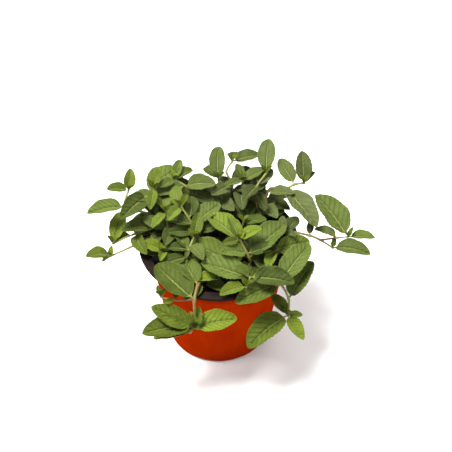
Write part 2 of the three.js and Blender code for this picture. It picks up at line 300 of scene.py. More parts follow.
class StemPath:
    """A smooth line through the joints of a stem, a centripetal Catmull-Rom spline."""

    STEPS = 200

    def __init__(self, joints):
        knots = [np.array(joint, float) for joint in joints]
        onward = knots[-1] - knots[-2]
        knots.append(knots[-1] + onward / np.linalg.norm(onward) * STEM_RADIUS)
        self.knots = knots
        samples = np.array([self.at(i / self.STEPS) for i in range(self.STEPS + 1)])
        steps = np.linalg.norm(np.diff(samples, axis=0), axis=1)
        self.lengths = np.concatenate([[0], np.cumsum(steps)])
        self.length = self.lengths[-1]

    def at(self, share):
        """The point at a share of the spline's own parameter."""
        knots, last = self.knots, len(self.knots) - 1
        start = min(int(share * last), last - 1)
        weight = share * last - start
        inner, outer = knots[start], knots[start + 1]
        before = knots[start - 1] if start > 0 else 2 * inner - outer
        after = knots[start + 2] if start + 2 <= last else 2 * outer - inner
        gaps = [np.linalg.norm(b - a) ** 0.5 for a, b in ((before, inner), (inner, outer), (outer, after))]
        middle = (outer - inner) / gaps[1]
        leave = (inner - before) / gaps[0] - (outer - before) / (gaps[0] + gaps[1]) + middle
        arrive = middle - (after - inner) / (gaps[1] + gaps[2]) + (after - outer) / gaps[2]
        leave, arrive = leave * gaps[1], arrive * gaps[1]
        square = 3 * (outer - inner) - 2 * leave - arrive
        cube = 2 * (inner - outer) + leave + arrive
        return inner + leave * weight + square * weight**2 + cube * weight**3

    def share_at(self, distance):
        """The spline's parameter at a distance along it."""
        return np.interp(distance, self.lengths, np.arange(self.STEPS + 1) / self.STEPS)

    def heading(self, share):
        """The compass direction of the line at a share of its parameter, in degrees."""
        ahead = self.at(min(1, share + 1e-4)) - self.at(max(0, share - 1e-4))
        return math.degrees(math.atan2(ahead[1], ahead[0]))


def main_path(shoot):
    """The path of a shoot's own stem, from its foot in the soil."""
    x, y = shoot["root"]
    ground = soil_height(math.hypot(x, y))
    joints = [place for place, _ in shoot["joints"]]
    return StemPath([(x, y, ground - ROOT_DEPTH), (x, y, ground + 2), *joints])


def side_path(shoot):
    """The path of the side shoot, from the joint that it starts at."""
    start = shoot["joints"][shoot["side"]["start"] - 1][0]
    return StemPath([start, *(place for place, _ in shoot["side"]["joints"])])


def leaf_axes(heading, rise, roll=None):
    """The leaf's own axes: along its midrib, across it, and out of its upper face."""
    if roll is None:
        roll = LIGHT_TILT * math.cos(math.radians(heading))
    turn = Euler((math.radians(roll), -math.radians(rise), math.radians(heading)), "XYZ").to_matrix()
    return [np.array(turn.col[k]) for k in range(3)]


def corners_of(node):
    """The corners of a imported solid, in millimetres."""
    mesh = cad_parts[node].data
    corners = np.empty(len(mesh.vertices) * 3, np.float32)
    mesh.vertices.foreach_get("co", corners)
    return corners.reshape(-1, 3) / MM


def found_leaf(corners, joint, leaf, clearance):
    """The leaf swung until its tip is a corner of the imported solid, or None if it didn't grow."""
    heading, rise, length, roll = (*leaf, None)[:4]
    for aside, up in SWINGS:
        axes = dict(zip(LEAF_DIRECTIONS, leaf_axes(heading + aside, rise + up, roll)))
        tip = np.array(joint) + axes["along"] * (clearance + length)
        if np.abs(corners - tip).max(axis=1).min() < TIP_MATCH:
            return {"joint": np.array(joint, float), "length": length, **axes}
    return None


def bud_leaves(joints):
    """The two young leaves at the end of a stem, across the pair below them."""
    place, leaves = joints[-1]
    heading = (leaves[0][0] if leaves else 0) + 90
    return [(place, (heading + turn, BUD_RISE, BUD_LEAF)) for turn in (0, 180)]


def filler_leaves(path):
    """Pairs of modest leaves at even distances up a stem, as far as the edge of the pot's mouth."""
    found = []
    for pair in range(FILLER_PAIRS):
        distance = FILLER_START + pair * FILLER_SPACING
        if distance > path.length - FILLER_END:
            break
        share = path.share_at(distance)
        joint = path.at(share)
        if math.hypot(joint[0], joint[1]) > MOUTH_RADIUS:
            break
        heading = path.heading(share) + 90 + pair * FILLER_TURN
        length = FILLER_LENGTH + pair * FILLER_GROWTH
        found += [(joint, (heading + turn, FILLER_RISE, length)) for turn in (0, 180)]
    return found


def grow_shoot(name, shoot):
    """The large leaves, the small leaves and the stem paths of one shoot."""
    main = main_path(shoot)
    paths = [(main, STEM_RADIUS)]
    joints = list(shoot["joints"])
    buds = bud_leaves(joints)
    if "side" in shoot:
        paths.append((side_path(shoot), SIDE_STEM_RADIUS))
        joints += shoot["side"]["joints"]
        buds += bud_leaves(shoot["side"]["joints"])
    spots = [
        (place, leaf, (k + 1) / len(joints))
        for k, (place, leaves) in enumerate(joints)
        for leaf in leaves
    ]
    stem = corners_of(f"stem_{name}")
    large, small = [], []
    for place, leaf, share in spots:
        if leaf[2] >= LARGE_LEAF:
            node = f"leaf_{name}_{len(large) + 1}"
            grown = found_leaf(corners_of(node), place, leaf, STEM_RADIUS + GAP)
            large.append((node, {**grown, "youth": YOUTH_LARGE * share}))
        else:
            grown = found_leaf(stem, place, leaf, -STALK_ROOT)
            if grown:
                small.append({**grown, "youth": YOUTH_SMALL * share})
    for youth, others in ((YOUTH_BUD, buds), (YOUTH_FILLER, filler_leaves(main))):
        for place, leaf in others:
            grown = found_leaf(stem, place, leaf, -STALK_ROOT)
            if grown:
                small.append({**grown, "youth": youth})
    return {"paths": paths, "large": large, "small": small, "joints": [place for place, _ in joints]}


# ---- Node trees written as sums ----


class Flow:
    """The output of a node. Arithmetic on it adds further nodes to the same tree."""

    def __init__(self, plan, socket):
        self.plan = plan
        self.socket = socket

    @property
    def is_vector(self):
        return self.socket.type == "VECTOR"

    def __add__(self, other):
        return self.plan.math("ADD", self, other)

    def __radd__(self, other):
        return self.plan.math("ADD", other, self)

    def __sub__(self, other):
        return self.plan.math("SUBTRACT", self, other)

    def __rsub__(self, other):
        return self.plan.math("SUBTRACT", other, self)

    def __mul__(self, other):
        return self.plan.math("MULTIPLY", self, other)

    def __rmul__(self, other):
        return self.plan.math("MULTIPLY", other, self)

    def __truediv__(self, other):
        return self.plan.math("DIVIDE", self, other)

    def __pow__(self, other):
        return self.plan.math("POWER", self, other)

    def __neg__(self):
        return self.plan.math("MULTIPLY", self, -1)


class Plan:
    """A node tree in the making, for geometry or for a material."""

    def __init__(self, tree):
        self.tree = tree

    @classmethod
    def geometry(cls, name, inputs):
        """A geometry tree with named inputs, each a socket type and a default."""
        tree = bpy.data.node_groups.new(name, "GeometryNodeTree")
        tree.interface.new_socket("Geometry", in_out="INPUT", socket_type="NodeSocketGeometry")
        tree.interface.new_socket("Geometry", in_out="OUTPUT", socket_type="NodeSocketGeometry")
        return cls(tree)._with_inputs(inputs)

    @classmethod
    def group(cls, name, inputs, outputs):
        """A shader node group with named inputs and outputs."""
        tree = bpy.data.node_groups.new(name, "ShaderNodeTree")
        for output, kind in outputs.items():
            tree.interface.new_socket(output, in_out="OUTPUT", socket_type=kind)
        return cls(tree)._with_inputs(inputs)

    def _with_inputs(self, inputs):
        for name, (kind, default) in inputs.items():
            socket = self.tree.interface.new_socket(name, in_out="INPUT", socket_type=kind)
            if default is not None:
                socket.default_value = default
        self.entry = self.tree.nodes.new("NodeGroupInput")
        self.exit = self.tree.nodes.new("NodeGroupOutput")
        return self

    def given(self, name):
        """One of the tree's own inputs."""
        return Flow(self, self.entry.outputs[name])

    def feed(self, socket, value):
        """Sets a socket to a plain value, or links it to another node's output."""
        if isinstance(value, Flow):
            self.tree.links.new(value.socket, socket)
        elif value is not None:
            socket.default_value = value

    def node(self, kind, inputs=(), output=0, **settings):
        """A new node with its settings, then its inputs by name or place. Gives one of its outputs."""
        node = self.tree.nodes.new(kind)
        for name, value in settings.items():
            setattr(node, name, value)
        for key, value in dict(inputs).items():
            self.feed(node.inputs[key], value)
        return Flow(self, node.outputs[output])

    def math(self, operation, *values):
        vector = [isinstance(v, tuple) or (isinstance(v, Flow) and v.is_vector) for v in values]
        if not any(vector):
            return self.node("ShaderNodeMath", enumerate(values), operation=operation)
        if operation == "MULTIPLY" and not all(vector):
            arrow, scale = values if vector[0] else reversed(values)
            return self.node("ShaderNodeVectorMath", {"Vector": arrow, "Scale": scale}, operation="SCALE")
        return self.node("ShaderNodeVectorMath", enumerate(values), operation=operation)

    def smooth(self, value, low, high, start=0.0, end=1.0):
        """A smooth step: start below low, end above high."""
        inputs = {"Value": value, "From Min": low, "From Max": high, "To Min": start, "To Max": end}
        return self.node("ShaderNodeMapRange", inputs, interpolation_type="SMOOTHSTEP")

    def clamped(self, value, low=0.0, high=1.0):
        return self.math("MINIMUM", self.math("MAXIMUM", value, low), high)

    def blend(self, share, first, second):
        return first + (second - first) * share

    def split(self, vector):
        node = self.tree.nodes.new("ShaderNodeSeparateXYZ")
        self.feed(node.inputs[0], vector)
        return [Flow(self, socket) for socket in node.outputs]

    def joined(self, x, y, z):
        return self.node("ShaderNodeCombineXYZ", {"X": x, "Y": y, "Z": z})

    def colour(self, share, first, second):
        """A mix of two colours."""
        inputs = {0: share, 6: first, 7: second}
        return self.node("ShaderNodeMix", inputs, output=2, data_type="RGBA")

    # Geometry trees only

    def stored(self, name, kind="FLOAT"):
        """An attribute that the geometry carries."""
        return self.node("GeometryNodeInputNamedAttribute", {"Name": name}, data_type=kind)

    def store(self, geometry, name, value, kind="FLOAT"):
        inputs = {"Geometry": geometry, "Name": name, "Value": value}
        return self.node("GeometryNodeStoreNamedAttribute", inputs, data_type=kind, domain="POINT")

    def any_vector(self, low, high, seed):
        """A random vector for each point."""
        inputs = {0: low, 1: high, "Seed": seed}
        return self.node("FunctionNodeRandomValue", inputs, data_type="FLOAT_VECTOR")

    def finish(self, geometry, material):
        """The last steps of a geometry tree: real geometry with its material."""
        real = self.node("GeometryNodeRealizeInstances", {"Geometry": geometry})
        painted = self.node("GeometryNodeSetMaterial", {"Geometry": real, "Material": material})
        self.feed(self.exit.inputs["Geometry"], painted)
        return self.tree


def grown_mesh(name, start, tree, values):
    """Runs a geometry tree on a starting mesh and keeps the result as a plain object."""
    source = bpy.data.objects.new(name, start)
    bpy.context.scene.collection.objects.link(source)
    modifier = source.modifiers.new("growth", "NODES")
    modifier.node_group = tree
    sockets = {
        item.name: item.identifier
        for item in tree.interface.items_tree
        if item.item_type == "SOCKET" and item.in_out == "INPUT"
    }
    for key, value in values.items():
        modifier[sockets[key]] = value
    bpy.context.view_layer.update()
    evaluated = source.evaluated_get(bpy.context.evaluated_depsgraph_get())
    mesh = bpy.data.meshes.new_from_object(evaluated)
    source.modifiers.remove(modifier)
    source.data = mesh
    mesh.name = name
    bpy.data.meshes.remove(start)
    paint(mesh, values["Material"])
    return source


def paint(mesh, material):
    """Leaves a mesh with one material only."""
    mesh.materials.clear()
    mesh.materials.append(material)
    mesh.polygons.foreach_set("material_index", np.zeros(len(mesh.polygons), np.int32))


def vertex_mesh(name, places, edges=()):
    mesh = bpy.data.meshes.new(name)
    mesh.from_pydata([tuple(place) for place in places], list(edges), [])
    return mesh


def give(mesh, name, kind, values):
    """Stores one value, or one vector, for each of a mesh's points."""
    attribute = mesh.attributes.new(name, kind, "POINT")
    key = "vector" if kind == "FLOAT_VECTOR" else "value"
    attribute.data.foreach_set(key, np.asarray(values, np.float32).ravel())


def hand_over(piece, slot, *nodes):
    """A finished piece rides on the pot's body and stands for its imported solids."""
    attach(piece, BODY)
    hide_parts(*nodes)


# ---- Leaves ----

SPENT_ATTRIBUTES = (
    "leaf_round", "leaf_share", "leaf_base", "leaf_bend", "leaf_fold", "leaf_chance", "leaf_bow",
    *(f"leaf_{axis}" for axis in LEAF_DIRECTIONS),
)
BLADE_LEAN = 0.88  # below 1, the blade is widest nearer to its base
BASE_ROUNDNESS = 0.64  # below 1, that end of the blade is blunt
TIP_ROUNDNESS = 0.76
WIDEST = BASE_ROUNDNESS / (BASE_ROUNDNESS + TIP_ROUNDNESS)
FULL_WIDTH = WIDEST ** BASE_ROUNDNESS * (1 - WIDEST) ** TIP_ROUNDNESS
EDGE_CROWDING = 0.08  # draws the columns of a blade towards its margins and midrib
END_ROUNDING = 30.0  # the higher, the shorter the round ends of the stalk and the tip
VEIN_CURVE = 1.1  # above 1, the side veins bend towards the tip
VEIN_SWEEP = 0.32  # how far along the blade a side vein runs on its way to the margin
FURROW_SHARPNESS = 4.0
MIDRIB_REACH = 0.9 * MM
MIDRIB_SINK = 1.4  # how much deeper the midrib lies than a side vein
RIB_REACH = 0.7 * MM
RIB_DEPTH = 0.35 * MM
FOLD_CURVE = 1.5
RIPPLES = 2.3  # waves of the margin from base to tip
SEAM_GAP = 0.001 * MM
WIDTH_SPREAD = (0.84, 1.06)  # the narrowest and the widest leaf, against the usual one
LIT_SIDE_BRIGHTENING = Vector((-0.18, -0.42, 0))  # painted light: how much younger, and so brighter, the leaves are made towards the light
YOUTH_SPREAD = 0.15
LEAF_ROLL = 14  # degrees either way about the midrib
LEAF_BENDS = (14, 52)  # degrees from base to tip
LEAF_BOW = 0.22  # how far a midrib may curve aside, as a share of the length
LEAST_FOLD = 0.28  # how steeply the halves of an old leaf rise from the midrib
YOUNG_FOLD = 0.3  # what youth adds to that
FOLD_SPREAD = 0.15  # and what chance adds

# The two forms of leaf. Side veins are the same in both, because one material draws them.
SIDE_VEINS = 7.0
LARGE_LEAF_FORM = {
    "Rows": 46, "Columns": 32, "Width": 0.54, "Teeth": 13.0, "Tooth depth": 0.08, "Side veins": SIDE_VEINS,
    "Vein depth": 0.028, "Waviness": 0.018,
}
SMALL_LEAF_FORM = {
    "Rows": 24, "Columns": 20, "Width": 0.56, "Teeth": 8.0, "Tooth depth": 0.09, "Side veins": SIDE_VEINS,
    "Vein depth": 0.03, "Waviness": 0.015,
}
SMALL_BLADE_SHARE = 0.9  # the thickness of a small leaf's blade against a large one's


def leaf_outline(blade):
    """The share of its full width that a blade has, from its base at 0 to its tip at 1."""
    lean = blade ** BLADE_LEAN
    return lean ** BASE_ROUNDNESS * (1.0 - lean) ** TIP_ROUNDNESS * (1.0 / FULL_WIDTH)


def leaf_grower():
    """A tree that grows one blade on each point, from the point's own axes, length and bend."""
    plan = Plan.geometry("leaf grower", {
        "Rows": ("NodeSocketInt", 40),
        "Columns": ("NodeSocketInt", 28),
        "Width": ("NodeSocketFloat", 0.54),
        "Stalk share": ("NodeSocketFloat", 0.08),
        "Stalk radius": ("NodeSocketFloat", 0.5 * MM),
        "Thickness": ("NodeSocketFloat", 0.3 * MM),
        "Teeth": ("NodeSocketFloat", 10.0),
        "Tooth depth": ("NodeSocketFloat", 0.1),
        "Side veins": ("NodeSocketFloat", 7.0),
        "Vein depth": ("NodeSocketFloat", 0.012),
        "Waviness": ("NodeSocketFloat", 0.02),
        "Material": ("NodeSocketMaterial", None),
    })
    columns, rows = plan.given("Columns"), plan.given("Rows")
    sheet = plan.node("GeometryNodeMeshGrid", {
        "Size X": 1.0, "Size Y": 1.0, "Vertices X": columns + 1, "Vertices Y": rows + 1,
    })
    x, y, _ = plan.split(plan.node("GeometryNodeInputPosition"))
    sheet = plan.store(sheet, "leaf_round", x + 0.5)
    sheet = plan.store(sheet, "leaf_share", y + 0.5)
    points = plan.node("GeometryNodeMeshToPoints", {"Mesh": plan.given("Geometry")})
    placed = plan.node("GeometryNodeInstanceOnPoints", {"Points": points, "Instance": sheet})
    sheet = plan.node("GeometryNodeRealizeInstances", {"Geometry": placed})

    along, across, out = (plan.stored(f"leaf_{name}", "FLOAT_VECTOR") for name in LEAF_DIRECTIONS)
    base = plan.stored("leaf_base", "FLOAT_VECTOR")
    length, bend, fold = (plan.stored(name) for name in ("leaf_length", "leaf_bend", "leaf_fold"))
    chance, bow = plan.stored("leaf_chance"), plan.stored("leaf_bow")
    turn, share = plan.stored("leaf_round"), plan.stored("leaf_share")

    # Round the section: over the upper face from its right edge to its left, and back underneath
    swing = plan.math("ABSOLUTE", turn * 4.0 - 2.0) - 1.0
    aside = swing - plan.math("SINE", swing * math.tau) * EDGE_CROWDING
    side = 1.0 - plan.math("GREATER_THAN", turn, 0.5) * 2.0
    reach = plan.math("ABSOLUTE", aside)

    # The outline: a slim stalk, then a blade with toothed margins
    stalk = plan.given("Stalk share")
    blade = plan.clamped((share - stalk) / (1.0 - stalk))
    outline = leaf_outline(blade)
    tooth = plan.math("FRACT", blade * plan.given("Teeth") + chance)
    toothed = plan.smooth(reach, 0.7, 1.0) * plan.smooth(outline, 0.2, 0.7)
    notch = (1.0 - tooth) * toothed * plan.given("Tooth depth")
    ends = plan.clamped(share * END_ROUNDING) * plan.clamped((1.0 - share) * END_ROUNDING)
    slim = plan.given("Stalk radius") * ends
    narrow, wide = WIDTH_SPREAD
    width = plan.given("Width") * (chance * (wide - narrow) + narrow)
    half = plan.math("MAXIMUM", length * outline * width * 0.5, slim)
    sideways = half * aside * (1.0 - notch)

    # The relief: sunk midrib and side veins that curve towards the tip, with the blade full between
    vein = (blade - reach ** VEIN_CURVE * outline * VEIN_SWEEP) * plan.given("Side veins")
    furrow = (plan.math("COSINE", vein * math.tau) * 0.5 + 0.5) ** FURROW_SHARPNESS
    inland = plan.smooth(reach, 0.75, 1.0, 1.0, 0.0) * plan.smooth(outline, 0.1, 0.6)
    from_midrib = plan.math("ABSOLUTE", sideways)
    valley = plan.smooth(from_midrib, 0.0, MIDRIB_REACH, 1.0, 0.0)
    depth = plan.given("Vein depth") * length
    relief = -(furrow * (1.0 - valley) + valley * MIDRIB_SINK) * depth * inland
    quarter = plan.math("SINE", (blade * RIPPLES + chance + aside * 0.3) * math.tau)
    ripple = quarter * reach ** 2.0 * plan.given("Waviness") * length * outline

    # The thickness: a round stalk that thins into the blade, with a rib under the midrib
    rounding = plan.math("SQRT", plan.math("MAXIMUM", 1.0 - reach * reach, 0.0))
    thin = plan.math("SQRT", plan.math("MAXIMUM", 1.0 - reach ** 8.0, 0.0)) * plan.given("Thickness") * 0.5
    under = plan.math("GREATER_THAN", turn, 0.5) * (1.0 - blade) * RIB_DEPTH
    rib = plan.smooth(from_midrib, 0.0, RIB_REACH, 1.0, 0.0) * under
    opened = plan.smooth(share, stalk * 0.5, stalk * 2.0)
    swell = plan.blend(opened, slim * rounding, (thin + rib)) * ends

    lift = fold * half * reach ** FOLD_CURVE
    height = side * swell + (relief + ripple + lift) * opened * ends

    # The curve of the midrib, an arc that starts at the stem and ends at the tip
    angle = bend * (share - 0.5)
    half_bend = bend * 0.5
    radius = length * 0.5 / plan.math("SINE", half_bend)
    onward = radius * (plan.math("SINE", angle) + plan.math("SINE", half_bend))
    arch = radius * (plan.math("COSINE", angle) - plan.math("COSINE", half_bend))
    onward = onward + height * plan.math("SINE", angle)
    arch = arch + height * plan.math("COSINE", angle)
    sideways = sideways + bow * length * share * (1.0 - share)
    place = base + along * onward + across * sideways + out * arch

    sheet = plan.node("GeometryNodeSetPosition", {"Geometry": sheet, "Position": place})
    sheet = plan.store(sheet, "leaf_chart", plan.joined(aside, blade, side), "FLOAT_VECTOR")
    sheet = plan.node("GeometryNodeMergeByDistance", {"Geometry": sheet, "Distance": SEAM_GAP})
    return plan.finish(sheet, plan.given("Material"))


def youth_with_painted_light(leaf, chance):
    """How young a leaf looks, 0 to 1. Leaves towards the light are made younger and so brighter: painted
    light.
    """
    painted_light = leaf["joint"].dot(LIT_SIDE_BRIGHTENING) / RIM_RADIUS
    return min(1.0, max(0.0, leaf["youth"] + painted_light + chance))


def rolled(leaf, angle):
    """A leaf turned about its own midrib by an angle in degrees."""
    turn = math.radians(angle)
    across = leaf["across"] * math.cos(turn) + leaf["out"] * math.sin(turn)
    out = leaf["out"] * math.cos(turn) - leaf["across"] * math.sin(turn)
    return {**leaf, "across": across, "out": out}


def leaf_points(name, leaves, rng, root_depth):
    """The starting mesh of a group of leaves: a point for each, with what the grower needs to know."""
    points = vertex_mesh(name, [leaf["joint"] * MM for leaf in leaves])
    leaves = [rolled(leaf, rng.uniform(-LEAF_ROLL, LEAF_ROLL)) for leaf in leaves]
    for axis in LEAF_DIRECTIONS:
        give(points, f"leaf_{axis}", "FLOAT_VECTOR", [leaf[axis] for leaf in leaves])
    bases = [(leaf["joint"] + leaf["along"] * root_depth) * MM for leaf in leaves]
    reaches = [leaf["reach"] - root_depth for leaf in leaves]
    give(points, "leaf_base", "FLOAT_VECTOR", bases)
    give(points, "leaf_length", "FLOAT", [reach * MM for reach in reaches])
    # Youth here includes painted light from the lit side, and it also sets each leaf's fold
    youths_with_light = [youth_with_painted_light(leaf, rng.uniform(-YOUTH_SPREAD, YOUTH_SPREAD)) for leaf in leaves]
    give(points, "leaf_bend", "FLOAT", [math.radians(rng.uniform(*LEAF_BENDS)) for _ in leaves])
    folds = [LEAST_FOLD + YOUNG_FOLD * youth + rng.uniform(0, FOLD_SPREAD) for youth in youths_with_light]
    give(points, "leaf_fold", "FLOAT", folds)
    give(points, "leaf_chance", "FLOAT", [rng.random() for _ in leaves])
    give(points, "leaf_bow", "FLOAT", [rng.uniform(-LEAF_BOW, LEAF_BOW) for _ in leaves])
    give(points, "leaf_kind", "FLOAT_VECTOR", [(youth, rng.random(), rng.random()) for youth in youths_with_light])
    return points


def grow_leaves(name, leaves, tree, rng, values, root_depth):
    """One piece with all the leaves given, each grown from its own point."""
    piece = grown_mesh(name, leaf_points(name, leaves, rng, root_depth), tree, values)
    for spent in SPENT_ATTRIBUTES:
        attribute = piece.data.attributes.get(spent)
        if attribute:
            piece.data.attributes.remove(attribute)
    piece.data.shade_smooth()
    return piece


# ---- Stems ----

STEM_SPACING = 1.0  # millimetres between the points of a stem's line
NODE_SWELL = 0.35  # how much thicker a stem is at its joints
NODE_REACH = 1.6
TIP_TAPER = 0.35


def stem_grower():
    """A tree that sweeps a four-cornered stem along each line of points."""
    plan = Plan.geometry("stem grower", {
        "Sides": ("NodeSocketInt", 12),
        "Squareness": ("NodeSocketFloat", 0.08),
        "Material": ("NodeSocketMaterial", None),
    })
    line = plan.node("GeometryNodeMeshToCurve", {"Mesh": plan.given("Geometry")})
    ring = plan.node("GeometryNodeCurvePrimitiveCircle", {"Resolution": plan.given("Sides"), "Radius": 1.0})
    position = plan.node("GeometryNodeInputPosition")
    x, y, _ = plan.split(position)
    corner = plan.math("COSINE", plan.math("ARCTAN2", y, x) * 4.0)
    squared = position * (1.0 + corner * plan.given("Squareness"))
    ring = plan.node("GeometryNodeSetPosition", {"Geometry": ring, "Position": squared})
    skin = plan.node("GeometryNodeCurveToMesh", {
        "Curve": line, "Profile Curve": ring, "Scale": plan.stored("stem_radius"), "Fill Caps": True,
    })
    return plan.finish(skin, plan.given("Material"))


def stem_lines(name, paths, joints):
    """The lines of a shoot's stems, with the radius and the place along the stem at each point."""
    places, edges, radii, shares = [], [], [], []
    for path, radius in paths:
        count = max(8, round(path.length / STEM_SPACING))
        first = len(places)
        for k in range(count + 1):
            share = k / count
            place = path.at(path.share_at(share * path.length))
            near = min(np.linalg.norm(place - np.array(joint)) for joint in joints)
            swell = 1 + NODE_SWELL * math.exp(-((near / NODE_REACH) ** 2))
            places.append(place * MM)
            radii.append(radius * MM * swell * (1 - TIP_TAPER * share**2))
            shares.append(share)
        edges += [(k, k + 1) for k in range(first, first + count)]
    lines = vertex_mesh(name, places, edges)
    give(lines, "stem_radius", "FLOAT", radii)
    give(lines, "stem_share", "FLOAT", shares)
    return lines


# ---- Pot ----

POT_HEIGHT = 86
RIM_RADIUS = 53
BASE_RADIUS = 36
WALL = 1
SHOULDER_HEIGHT = 72
SHOULDER_RADIUS = 44.8
SHOULDER_STEP = 1.3
LIP_DROP = 2.4
CORNER_RADIUS = 3
CHANNEL_COUNT = 8
CHANNEL_WIDTH = 7
CHANNEL_HEIGHT = 2
CHANNEL_START = 23
HOLE_RADIUS = 2.6
HOLE_PLACE = 29
POT_COLUMNS = 192
CHANNEL_EDGE = 0.7  # how softly a channel's side rises
DRILL_SIDES = 20
DRILL_LENGTH = 4
SHARP_TURN = 50  # degrees between faces from which an edge of the pot looks sharp


def mesh_of(name, form):
    """A finished form as a mesh."""
    mesh = bpy.data.meshes.new(name)
    form.to_mesh(mesh)
    form.free()
    return mesh


def skinned(name, form, rings, columns):
    """A closed mesh with faces between each ring of corners and the next. A ring of one is a pole."""
    for lower, upper in zip(rings, rings[1:]):
        for k in range(columns):
            following = (k + 1) % columns
            corners = [lower[k % len(lower)], lower[following % len(lower)],
                       upper[following % len(upper)], upper[k % len(upper)]]
            form.faces.new(list(dict.fromkeys(corners)))
    bmesh.ops.recalc_face_normals(form, faces=form.faces)
    return mesh_of(name, form)


def on_ring(radius, angle, height):
    """A point in metres, from a radius and a height in millimetres and an angle in radians."""
    return [value * MM for value in (radius * math.cos(angle), radius * math.sin(angle), height)]


def arc(centre_radius, centre_height, radius, first, last, steps):
    """Part of a circle in the pot's section, between two angles in degrees."""
    angles = [math.radians(first + (last - first) * k / steps) for k in range(steps + 1)]
    return [(centre_radius + radius * math.cos(a), centre_height + radius * math.sin(a)) for a in angles]


def straight(start, end, steps):
    """Points from start towards end, without the end itself."""
    return [tuple(np.array(start) + (np.array(end) - np.array(start)) * k / steps) for k in range(steps)]


def pot_section():
    """The pot's section from the axis under the base, round the rim, and back to the axis inside."""
    corner = BASE_RADIUS - CORNER_RADIUS
    step_top = (SHOULDER_RADIUS + SHOULDER_STEP, SHOULDER_HEIGHT + SHOULDER_STEP)
    under_rim = (MOUTH_RADIUS + WALL, POT_HEIGHT - WALL)
    outside = [
        *straight((0, 0), (CHANNEL_START - 1, 0), 4),
        *straight((CHANNEL_START - 1, 0), (corner, 0), 8),
        *arc(corner, CORNER_RADIUS, CORNER_RADIUS, -90, 0, 8)[:-1],
        *straight((BASE_RADIUS, CORNER_RADIUS), (SHOULDER_RADIUS, SHOULDER_HEIGHT), 10),
        *straight((SHOULDER_RADIUS, SHOULDER_HEIGHT), step_top, 3),
        *straight(step_top, under_rim, 3),
        *straight(under_rim, (RIM_RADIUS - WALL, POT_HEIGHT - WALL), 3),
        *straight((RIM_RADIUS - WALL, POT_HEIGHT - WALL), (RIM_RADIUS - WALL, POT_HEIGHT - LIP_DROP), 2),
        *arc(RIM_RADIUS - WALL / 2, POT_HEIGHT - LIP_DROP + WALL / 2, WALL / 2, 180, 360, 6),
        *arc(RIM_RADIUS - WALL, POT_HEIGHT - WALL, WALL, 0, 60, 4),
    ]
    inside = [
        *arc(RIM_RADIUS - WALL, POT_HEIGHT - WALL, WALL, 75, 90, 1),
        *straight((RIM_RADIUS - 2 * WALL, POT_HEIGHT), (MOUTH_RADIUS + WALL, POT_HEIGHT), 2),
        *arc(MOUTH_RADIUS + WALL / 2, POT_HEIGHT - WALL / 2, WALL / 2, 90, 180, 4)[1:],
        *straight((MOUTH_RADIUS - 0.2, POT_HEIGHT - 2), (step_top[0] - WALL, step_top[1]), 3),
        *straight((step_top[0] - WALL, step_top[1]), (SHOULDER_RADIUS - WALL, SHOULDER_HEIGHT), 2),
        *straight((SHOULDER_RADIUS - WALL, SHOULDER_HEIGHT), (BASE_RADIUS - WALL, CORNER_RADIUS), 8),
        *arc(corner, CORNER_RADIUS, CORNER_RADIUS - WALL, 0, -90, 6),
        *straight((corner - 1, WALL), (CHANNEL_START - 2, WALL), 8),
        *straight((CHANNEL_START - 2, WALL), (0, WALL), 4)[1:],
        (0, WALL),
    ]
    return outside, inside


def channel_rise(radius, angle, height, inner):
    """The height of a point of the base once the drainage channels are pressed up into it."""
    sector = math.tau / CHANNEL_COUNT
    off = (angle / sector) % 1 - 0.5
    aside = radius * abs(math.sin(off * sector))
    half = CHANNEL_WIDTH / 2 + (WALL if inner else 0)
    start = CHANNEL_START - (WALL if inner else 0)
    beside = min(1, max(0, (half - aside) / CHANNEL_EDGE + 0.5))
    beyond = min(1, max(0, (radius - start) / CHANNEL_EDGE + 0.5))
    top = CHANNEL_HEIGHT + (WALL if inner else 0)
    return max(height, top * beside * beyond)


def pot_mesh():
    """The pot as one closed sheet of plastic, turned about its axis."""
    outside, inside = pot_section()
    section = outside + inside
    form = bmesh.new()
    inner_skin = form.verts.layers.float.new("inner_skin")
    rings = []
    for k, (radius, height) in enumerate(section):
        inner = k >= len(outside)
        dark = inner or (radius > RIM_RADIUS - WALL and height > POT_HEIGHT - LIP_DROP)
        ring = []
        for column in range(POT_COLUMNS if radius > 0 else 1):
            angle = math.tau * column / POT_COLUMNS
            level = channel_rise(radius, angle, height, inner)
            ring.append(form.verts.new(on_ring(radius, angle, level)))
            ring[-1][inner_skin] = float(dark)
        rings.append(ring)
    return skinned("pot_shell", form, rings, POT_COLUMNS)


def drain_drills():
    """Rods that cut the eight drain holes."""
    form = bmesh.new()
    for k in range(CHANNEL_COUNT):
        angle = math.tau * (k + 0.5) / CHANNEL_COUNT
        made = bmesh.ops.create_cone(
            form, cap_ends=True, segments=DRILL_SIDES, depth=DRILL_LENGTH * MM,
            radius1=HOLE_RADIUS * MM, radius2=HOLE_RADIUS * MM,
        )
        place = Vector(on_ring(HOLE_PLACE, angle, CHANNEL_HEIGHT + WALL / 2))
        bmesh.ops.translate(form, verts=made["verts"], vec=place)
    return bpy.data.objects.new("drills", mesh_of("drills", form))


# ---- Soil ----

SOIL_RINGS = 34
SOIL_COLUMNS = 96
POLE_RADIUS = 1e-6  # a smaller ring is one corner
CRUMB_ROUNDNESS = 1
SOIL_SEED = 3
LEAST_CRUMB, LARGEST_CRUMB = (0.35, 0.35, 0.3), (1.0, 1.0, 0.8)  # shares of the crumb size, across and up
ANY_TURN = (math.tau, math.tau, math.tau)


